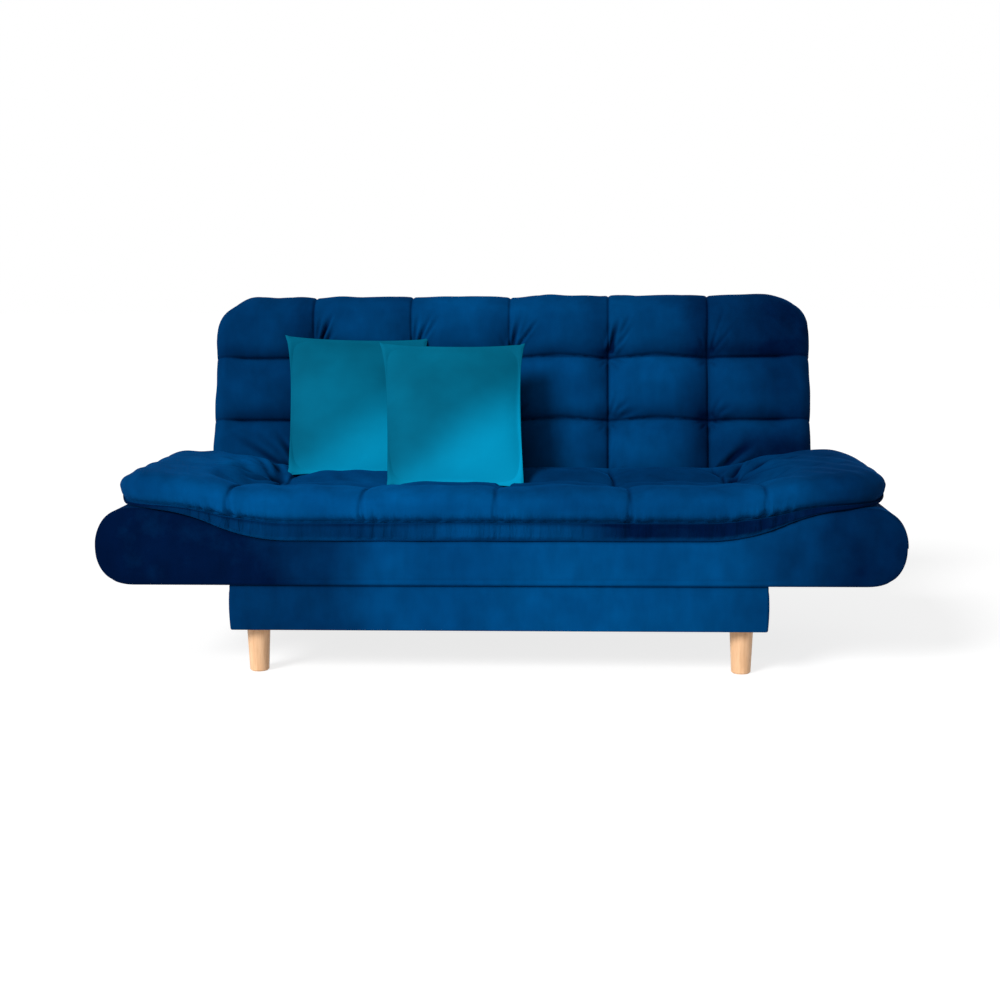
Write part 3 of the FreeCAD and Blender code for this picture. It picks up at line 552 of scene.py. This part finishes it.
def face_direction(section):
    """For each point of a ring, the way (into, up) that its surface faces, and how far it belongs
    to the tufted front and top."""
    into, up = section[:, 0], section[:, 1]
    step = np.roll(section, -1, 0) - np.roll(section, 1, 0)
    facing = np.stack([-step[:, 1], step[:, 0]], -1)
    facing /= np.maximum(np.linalg.norm(facing, axis=1, keepdims=True), 1e-9)
    shown = smooth((0.15 - into) / 0.03) * smooth((up - 0.05) / 0.05)
    return facing, shown


def back_tufting(across, face):
    """Height of the tufted front over its plain face and its painted shade, from the place across and up the face.
    """
    puff_height, seam_drop, stitch, stitch_width, tuft_depth = 0.034, 0.021, 0.0030, 0.0034, 0.008
    row_bow = 0.007
    middle = np.sin(math.pi * across / seam_pitch_rear) ** 2
    middle *= np.abs(across) < outer_seam * seam_pitch_rear
    seam, row = column_distance(across), row_distance(face - row_bow * middle, back_rows)
    end = smooth((np.abs(across) - back_half + 0.085) / 0.06)
    high = smooth((face - back_rows[-1] - 0.02) / 0.10)
    row_puff = 1 - (1 - shoulder(row, 0.085)) * (1 - 0.75 * end)
    puff = (1 - (1 - shoulder(seam, 0.128)) * (1 - 0.88 * high)) * row_puff
    push = (puff_height * puff - seam_drop) * (1 - 0.3 * end)
    push -= stitch * (line(seam, stitch_width) + line(row, stitch_width) * (1 - 0.6 * end))
    push -= tuft_depth * line(np.hypot(seam, row), 0.022)

    # folds from the tufts: long ones up over the top, short ones below, a fan in each low corner
    folds, upward, downward = 0, math.pi / 2, -math.pi / 2
    for column in range(-outer_seam, outer_seam + 1):
        for row_height in back_rows:
            tuft = (column * seam_pitch_rear, row_height)
            if row_height == back_rows[-1]:
                depth = 0.0085 * (0.45 if column == outer_seam else 1)
                folds += fan(across, face, tuft, upward - 0.40, 0.22, 4, 0.15, 0.0055, depth)
                folds += fan(across, face, tuft, upward + 0.25, 0.15, 2, 0.08, 0.0050, 0.0030)
            else:
                toward = random.uniform(0.3, 1.2)
                folds += fan(across, face, tuft, toward, 0.5, 3, 0.10, 0.007, 0.0038)
            folds += fan(across, face, tuft, downward, 1.3, 5, 0.06, 0.005, 0.0024)
    for side in (-1, 1):
        low_tuft = (side * outer_seam * seam_pitch_rear, back_rows[0])
        toward = 0.50 if side > 0 else math.pi - 0.50
        folds += fan(across, face, low_tuft, toward, 0.42, 5, 0.27, 0.009, 0.010)
    push += folds + 0.0020 * ripple(across + 0.5 * face, 0.12, 7)
    push += 0.0015 * ripple(face - 0.3 * across, 0.10, 6)
    # painted shade along the stitched lines, round the tufts and in the folds, added to the back's painted shade
    sewn = line(seam, 0.0045) + line(row, 0.0045) * (1 - 0.5 * end)
    near_tuft = line(np.hypot(seam, row), 0.035)
    return push, back_nap(across, face) + 0.16 * sewn + 0.20 * near_tuft + painted_fold_shade(folds)


def back_nap(across, face):
    """Painted shade, darker towards both ends and the lower right, and inside each square towards
    its right side and its foot, where less light from the upper left falls."""
    sides = smooth((np.abs(across - 0.10) - 0.10) / 0.55)
    column = (across / seam_pitch_rear + outer_seam + 1) % 1
    right = smooth((column - 0.62) / 0.33) * (across < outer_seam * seam_pitch_rear)
    low = sum(smooth((row + 0.055 - face) / 0.05) * (face > row) for row in back_rows)
    high = smooth((face - back_rows[-1] + 0.01) / 0.03) * smooth((across + 0.05) / 0.3)
    right_end = smooth((across - 0.56) / 0.20)
    lower_right = smooth((across - 0.42) / 0.16) * smooth((back_rows[1] - face) / 0.08)
    return (0.25 + 0.26 * sides + 0.22 * right + 0.16 * low + 0.20 * high + 0.26 * right_end
            + 0.22 * lower_right)


def make_back():
    room = 0.007
    pocket = (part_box("hinge_lift_pin_right")[0].x - room,
              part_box("hinge_back_arm_right")[1].x + room)
    places = back_places(back_half - 0.027, pocket)
    x = np.array([place for place, _ in places])
    sections = {kind: back_section(kind) for kind in ("end", "open", "hinge")}
    ring = np.stack([sections[kind] for _, kind in places])
    facing, shown = face_direction(sections["open"])
    across = np.broadcast_to(x[:, None], ring.shape[:2])
    over_top = ring[..., 1] >= back_height - 0.0005
    face = np.where(over_top, back_height + ring[..., 0], ring[..., 1])
    hinge = np.array([kind == "hinge" for _, kind in places])[:, None]
    shown = shown[None] * np.where(hinge, smooth((ring[..., 1] - 0.14) / 0.03), 1)
    push, nap = back_tufting(across, face)
    push, nap = shown * push, np.clip(nap, 0, 1)

    # round ends, and top corners that fall away towards them
    end_round, corner_width, corner_drop, level = 0.030, 0.115, 0.085, 0.50
    inset = end_round * (1 - closing(x, back_half, end_round))[:, None]
    drop = corner_drop * (1 - closing(x, back_half, corner_width))[:, None]
    half = back_thickness / 2
    into = ring[..., 0] + inset * np.clip((half - ring[..., 0]) / half, -1, 1)
    up = ring[..., 1] - drop * np.clip((ring[..., 1] - level) / (back_height - level), 0, None)
    turned = np.clip((np.abs(x) - back_half + end_round) / end_round, 0, 1)[:, None] * 0.9
    flat = np.stack([across + np.sign(x)[:, None] * turned * push * 0.5,
                     into + facing[None, :, 0] * push * np.sqrt(1 - turned ** 2),
                     up + facing[None, :, 1] * push * np.sqrt(1 - turned ** 2)], -1)

    # soft ends: the last rings close on the middle of the section, bulging a little
    ends, bulge = [], 0.006
    for side, row in ((-1, flat[0]), (1, flat[-1])):
        middle = np.stack([row[:, 0], np.full(len(row), half), np.clip(row[:, 2], 0.10, 0.48)], -1)
        caps = []
        for share in (0.88, 0.66, 0.4, 0.0):
            cap = middle + (row - middle) * share
            cap[:, 0] = row[:, 0] + side * bulge * (1 - share ** 2)
            caps.append(cap)
        ends.append(np.array(caps))
    nap = np.concatenate([np.tile(nap[:1], (4, 1)), nap, np.tile(nap[-1:], (4, 1))])
    flat = np.concatenate([ends[0][::-1], flat, ends[1]])
    return surface("back_cover", leaned(flat[..., 0], flat[..., 1], flat[..., 2]), nap=nap)


# ---- Pillows -----------------------------------------------------------------------------------
def rotation(axis, degrees):
    """Matrix that turns a row of points about X, Y or Z."""
    c, s = math.cos(math.radians(degrees)), math.sin(math.radians(degrees))
    first, second = [(1, 2), (2, 0), (0, 1)][axis]
    turn = np.eye(3)
    turn[first, first] = turn[second, second] = c
    turn[first, second], turn[second, first] = s, -s
    return turn


def make_pillow(name, node, shift, roll, turn, narrow, skew):
    """Two square sheets sewn together and blown up, then set in the place of the plain solid. roll
    is in its own plane, turn about the upright; narrow is the share of the width that its foot
    keeps and skew how far the foot is drawn to the right."""
    low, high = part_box(node)
    width, tall, half_thickness, count = 0.392, 0.420, 0.034, 70
    even = np.linspace(-1, 1, count)
    crowded = np.sin(even * math.pi / 2) * 0.35 + even * 0.65
    u, v = np.meshgrid(crowded, crowded, indexing="ij")
    bow_u = 1 - (0.075 + 0.03 * v) * (1 - np.abs(v) ** 2.4) * np.abs(u) ** 3
    bow_v = 1 - 0.065 * (1 - np.abs(u) ** 2.4) * np.abs(v) ** 3
    foot = 1 - (1 - narrow) * (1 - v) / 2
    plump = (np.clip(1 - u ** 2, 0, 1) * np.clip(1 - v ** 2, 0, 1)) ** 0.60
    sideways = u * bow_u * foot * width / 2 + skew * (0.5 - v / 2)
    sheets = [np.stack([sideways, face * half_thickness * plump, v * bow_v * tall / 2], -1)
              for face in (-1, 1)]
    # painted light and shade: darker at the top left, brighter towards the lower right
    dark = 0.86 * (1 - smooth(((0.7 * u - v) / 1.7 + 0.07) / 0.66))
    piece = surface(name, np.concatenate([sheets[0], sheets[1][::-1]]), around=False,
                    nap=np.concatenate([dark, dark[::-1]]))
    plain = np.ptp(coordinates(piece), axis=0)
    settle(piece, pressure=4.0, slack=0.02, limit=0.007, frames=14)
    points = coordinates(piece)
    points -= (points.max(0) + points.min(0)) / 2
    points *= plain / np.ptp(points, axis=0)
    points = points @ rotation(1, roll) @ rotation(0, -pillow_lean) @ rotation(2, turn)
    place_points(piece, points + np.array((low + high) / 2) + np.array(shift))
    return piece


# ---- Finishes ----------------------------------------------------------------------------------
def material(name):
    made = bpy.data.materials.new(name)
    made.use_nodes = True
    tree = made.node_tree
    return made, tree, tree.nodes["Principled BSDF"]


def node(tree, kind, **settings):
    made = tree.nodes.new(kind)
    for key, value in settings.items():
        if hasattr(made, key):
            setattr(made, key, value)
        else:
            made.inputs[key.replace("_", " ")].default_value = value
    return made


def noise(tree, scale, detail=3.0, stretch=(1, 1, 1), roughness=0.55):
    """Noise in the piece's own lengths, stretched along some of them."""
    place = node(tree, "ShaderNodeTexCoord")
    spread = node(tree, "ShaderNodeMapping")
    spread.inputs["Scale"].default_value = stretch
    tree.links.new(place.outputs["Object"], spread.inputs["Vector"])
    made = node(tree, "ShaderNodeTexNoise", Scale=scale, Detail=detail, Roughness=roughness)
    tree.links.new(spread.outputs["Vector"], made.inputs["Vector"])
    return made.outputs["Fac"]


def shade(tree, name):
    """A piece's own attribute; 0 where the piece has none."""
    return node(tree, "ShaderNodeAttribute", attribute_name=name).outputs["Fac"]


def ramp(tree, value, stops):
    made = tree.nodes.new("ShaderNodeValToRGB")
    while len(made.color_ramp.elements) < len(stops):
        made.color_ramp.elements.new(0.5)
    for element, (place, colour) in zip(made.color_ramp.elements, stops):
        element.position = place
        element.color = (*colour, 1)
    tree.links.new(value, made.inputs["Fac"])
    return made.outputs["Color"]


def mixed(tree, kind, share, a, b):
    made = node(tree, "ShaderNodeMix", data_type="RGBA", blend_type=kind)
    made.inputs["Factor"].default_value = share
    tree.links.new(a, made.inputs["A"])
    tree.links.new(b, made.inputs["B"])
    return made.outputs["Result"]


def product(tree, a, b):
    made = node(tree, "ShaderNodeMath", operation="MULTIPLY")
    tree.links.new(a, made.inputs[0])
    tree.links.new(b, made.inputs[1])
    return made.outputs[0]


def bumps(tree, shader, *layers):
    """Stack of bump layers, each (height, strength, distance)."""
    last = None
    for height, strength, distance in layers:
        made = node(tree, "ShaderNodeBump", Strength=strength, Distance=distance)
        tree.links.new(height, made.inputs["Height"])
        if last:
            tree.links.new(last, made.inputs["Normal"])
        last = made.outputs["Normal"]
    tree.links.new(last, shader.inputs["Normal"])


def srgb(red, green, blue):
    """Linear colour of one written as 0..255."""
    return tuple((c / 255 / 12.92) if c <= 10 else ((c / 255 + 0.055) / 1.055) ** 2.4
                 for c in (red, green, blue))


def velvet(name, deep, middle, bright, tint, sheen):
    """Short brushed pile: broad patches where the pile lies over, fine streaks and a soft sheen.
    One attribute darkens it with painted shade; the attribute gather wrinkles it finely."""
    made, tree, shader = material(name)
    patches = noise(tree, 2.6, 4.0, (1, 1, 1.5), 0.6)
    streaks = noise(tree, 24.0, 3.0, (1, 1, 0.4))
    colour = ramp(tree, patches, [(0.28, deep), (0.50, middle), (0.74, bright)])
    fine = ramp(tree, streaks, [(0.25, (0.82, 0.82, 0.82)), (0.75, (1.12, 1.12, 1.12))])
    # painted shade: the attribute read below, varied at random by the blotches, darkens the colour
    blotches = node(tree, "ShaderNodeMapRange", To_Min=0.72, To_Max=1.28)
    tree.links.new(noise(tree, 7.0, 5.0, (1, 1, 1), 0.65), blotches.inputs["Value"])
    nap = product(tree, shade(tree, "nap"), blotches.outputs[0])
    painted_shade_colour = ramp(tree, nap, [(0.0, (1, 1, 1)), (1.0, (0.10, 0.09, 0.155))])
    colour = mixed(tree, "MULTIPLY", 1.0, mixed(tree, "MULTIPLY", 1.0, colour, fine), painted_shade_colour)
    tree.links.new(colour, shader.inputs["Base Color"])
    shader.inputs["Roughness"].default_value = 0.9
    shader.inputs["Specular IOR Level"].default_value = 0.01
    shader.inputs["Sheen Weight"].default_value = sheen
    shader.inputs["Sheen Roughness"].default_value = 0.4
    shader.inputs["Sheen Tint"].default_value = (*tint, 1)
    pile = noise(tree, 900.0, 2.0)
    wrinkles = product(tree, noise(tree, 95.0, 3.0, (1, 0.3, 0.22)), shade(tree, "gather"))
    bumps(tree, shader, (streaks, 0.25, 0.002), (wrinkles, 1.0, 0.006), (pile, 0.4, 0.0006))
    return made


def satin_cloth(name, deep, bright, tint, sheen):
    """Smooth pillow cloth with a fine weave; one attribute darkens it with painted light and shade."""
    made, tree, shader = material(name)
    tone = node(tree, "ShaderNodeMath", operation="ADD")
    soft = node(tree, "ShaderNodeMath", operation="MULTIPLY_ADD")
    tree.links.new(noise(tree, 5.0, 3.0), soft.inputs[0])
    soft.inputs[1].default_value, soft.inputs[2].default_value = 0.5, -0.25
    # painted light and shade: the attribute, with a soft random noise, picks the colour between bright and deep
    tree.links.new(shade(tree, "nap"), tone.inputs[0])
    tree.links.new(soft.outputs[0], tone.inputs[1])
    colour = ramp(tree, tone.outputs[0], [(0.05, bright), (0.95, deep)])
    tree.links.new(colour, shader.inputs["Base Color"])
    shader.inputs["Roughness"].default_value = 0.75
    shader.inputs["Specular IOR Level"].default_value = 0.02
    shader.inputs["Sheen Weight"].default_value = sheen
    shader.inputs["Sheen Roughness"].default_value = 0.3
    shader.inputs["Sheen Tint"].default_value = (*tint, 1)
    weave = node(tree, "ShaderNodeTexWave", Scale=260.0, Distortion=1.0)
    place = node(tree, "ShaderNodeTexCoord")
    tree.links.new(place.outputs["Object"], weave.inputs["Vector"])
    bumps(tree, shader, (noise(tree, 30.0, 3.0), 0.3, 0.002), (weave.outputs["Fac"], 0.15, 0.0004))
    return made


def wood(name, pale, dark, along, roughness):
    """Grain: noise drawn out along the piece, with darker lines."""
    made, tree, shader = material(name)
    stretch = [14.0, 14.0, 14.0]
    stretch[along] = 1.0
    grain = noise(tree, 9.0, 5.0, stretch, 0.6)
    broad = noise(tree, 3.0, 2.0, stretch)
    colour = ramp(tree, grain, [(0.30, dark), (0.62, pale)])
    tone = ramp(tree, broad, [(0.3, (0.88, 0.86, 0.84)), (0.7, (1, 1, 1))])
    tree.links.new(mixed(tree, "MULTIPLY", 1.0, colour, tone), shader.inputs["Base Color"])
    shader.inputs["Roughness"].default_value = roughness
    bumps(tree, shader, (grain, 0.15, 0.0006))
    return made


def dark_cloth(name, colour):
    made, tree, shader = material(name)
    fibres = noise(tree, 320.0, 4.0, (1, 3, 1), 0.7)
    dim, lit = (tuple(c * share for c in colour) for share in (0.6, 1.5))
    tone = ramp(tree, fibres, [(0.3, dim), (0.7, lit)])
    tree.links.new(tone, shader.inputs["Base Color"])
    shader.inputs["Roughness"].default_value = 0.92
    bumps(tree, shader, (fibres, 0.4, 0.0008))
    return made


def steel(name, colour, roughness, metallic):
    made, tree, shader = material(name)
    wear = noise(tree, 60.0, 4.0)
    tone = ramp(tree, wear, [(0.35, tuple(c * 0.8 for c in colour)), (0.7, colour)])
    tree.links.new(tone, shader.inputs["Base Color"])
    shader.inputs["Metallic"].default_value = metallic
    shader.inputs["Roughness"].default_value = roughness
    bumps(tree, shader, (noise(tree, 400.0, 2.0), 0.08, 0.0003))
    return made


finishes = {
    "blue_velvet": velvet("blue_velvet", srgb(0, 57, 107), srgb(0, 68, 122), srgb(0, 80, 138),
                          (0.0, 0.14, 0.5), 0.20),
    "pillow_cloth": satin_cloth("pillow_cloth", srgb(0, 80, 106), srgb(0, 140, 182),
                                (0.0, 0.30, 0.5), 0.06),
    "leg_wood": wood("leg_wood", srgb(236, 192, 150), srgb(212, 164, 120), 2, 0.45),
    "frame_wood": wood("frame_wood", srgb(214, 178, 130), srgb(180, 140, 92), 0, 0.75),
    "hardboard": wood("hardboard", srgb(130, 92, 62), srgb(98, 66, 44), 1, 0.85),
    "black_cloth": dark_cloth("black_cloth", srgb(34, 34, 37)),
    "hinge_steel": steel("hinge_steel", srgb(58, 58, 61), 0.42, 0.6),
    "bright_steel": steel("bright_steel", srgb(196, 196, 192), 0.3, 1.0),
}
for part in frame["record"]["subparts"]:
    piece = frame["nodes"][part["node"]]
    piece.data.materials.clear()
    piece.data.materials.append(finishes[part["material_slot"]])


def dress(piece, body, slot, fill, *replaced):
    """Give a soft piece its finish, its body and the plain solids that it stands for."""
    piece.data.materials.append(finishes[slot])
    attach(piece, body)
    if replaced:
        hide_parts(*replaced)


# ---- The pieces --------------------------------------------------------------------------------
dress(make_seat_cushion(), "seat", "blue_velvet", 0.7, "seat_cushion")
dress(rounded(make_seat_box()), "seat", "blue_velvet", 0.9, "seat_padding")
dress(rounded(make_plinth_cloth()), "plinth", "blue_velvet", 0.9, "plinth_cover")
dress(make_back(), "back", "blue_velvet", 0.7, "back_cushion")
left_pillow = make_pillow("left_pillow_cover", "pillow_left", shift=(0.010, -0.028, -0.026),
                          roll=2.0, turn=7, narrow=1.0, skew=0.024)
right_pillow = make_pillow("right_pillow_cover", "pillow_right", shift=(0.002, -0.022, -0.015),
                           roll=0.8, turn=0, narrow=0.91, skew=0.028)
dress(rounded(left_pillow), "pillow_left", "pillow_cloth", 0.5, "pillow_left")
dress(rounded(right_pillow), "pillow_right", "pillow_cloth", 0.5, "pillow_right")


# ---- Floor, light and camera -------------------------------------------------------------------
def plain_rays(tree):
    """1 where the eye, a mirror or glass meets this; 0 where its light falls on the sofa."""
    path = tree.nodes.new("ShaderNodeLightPath")
    total = path.outputs["Is Camera Ray"]
    for name in ("Is Glossy Ray", "Is Transmission Ray"):
        larger = tree.nodes.new("ShaderNodeMath")
        larger.operation = "MAXIMUM"
        tree.links.new(total, larger.inputs[0])
        tree.links.new(path.outputs[name], larger.inputs[1])
        total = larger.outputs[0]
    return total


def make_floor():
    """Plain pale floor: the eye sees white in the light and a soft grey in the sofa's shadow."""
    bpy.ops.mesh.primitive_plane_add(size=80)
    floor = bpy.context.object
    floor.name = "floor"
    made, tree, shader = material("floor")
    shader.inputs["Base Color"].default_value = (0.8, 0.8, 0.8, 1)
    shader.inputs["Roughness"].default_value = 0.95
    lit, unlit = 0.30, 0.80
    seen = node(tree, "ShaderNodeBsdfDiffuse", Color=(lit, lit, lit, 1))
    glow = node(tree, "ShaderNodeEmission", Color=(1, 1, 1, 1), Strength=unlit)
    both = tree.nodes.new("ShaderNodeAddShader")
    tree.links.new(seen.outputs[0], both.inputs[0])
    tree.links.new(glow.outputs[0], both.inputs[1])
    either = tree.nodes.new("ShaderNodeMixShader")
    tree.links.new(plain_rays(tree), either.inputs[0])
    tree.links.new(shader.outputs[0], either.inputs[1])
    tree.links.new(both.outputs[0], either.inputs[2])
    tree.links.new(either.outputs[0], tree.nodes["Material Output"].inputs["Surface"])
    floor.data.materials.append(made)


def make_lamp(name, kind, place, aim, **settings):
    light = bpy.data.lights.new(name, kind)
    for key, value in settings.items():
        setattr(light, key, value)
    lamp = bpy.data.objects.new(name, light)
    lamp.location = place
    lamp.rotation_euler = (Vector(aim) - Vector(place)).to_track_quat("-Z", "Y").to_euler()
    bpy.context.scene.collection.objects.link(lamp)


def make_world(level):
    """Even light from all round; white where the eye meets it."""
    world = bpy.data.worlds.new("studio")
    world.use_nodes = True
    tree = world.node_tree
    soft = tree.nodes["Background"]
    soft.inputs["Color"].default_value = (1, 1, 1, 1)
    soft.inputs["Strength"].default_value = level
    white = node(tree, "ShaderNodeBackground", Color=(1, 1, 1, 1), Strength=1.0)
    either = tree.nodes.new("ShaderNodeMixShader")
    tree.links.new(plain_rays(tree), either.inputs[0])
    tree.links.new(soft.outputs[0], either.inputs[1])
    tree.links.new(white.outputs[0], either.inputs[2])
    tree.links.new(either.outputs[0], tree.nodes["World Output"].inputs["Surface"])
    bpy.context.scene.world = world


make_floor()
make_world(0.30)
make_lamp("key", "SUN", (-2.7, -3.6, 2.8), (0, 0, 0), energy=3.05, angle=0.34)
make_lamp("front_softbox", "AREA", (-0.5, -3.2, 1.3), (0, -0.3, 0.4), shape="RECTANGLE", size=1.2,
          size_y=0.8, energy=14)

camera = bpy.data.objects.new("camera", bpy.data.cameras.new("camera"))
look_down, roll, look_left = 0.1354, 0.0066, 0.0536
camera.data.lens = 58.97
camera.location = (0.2154, -4.2098, 0.936)
camera.rotation_euler = (math.radians(90) - look_down, roll, look_left)
bpy.context.scene.collection.objects.link(camera)
bpy.context.scene.camera = camera
bpy.context.scene.view_settings.view_transform = "Standard"
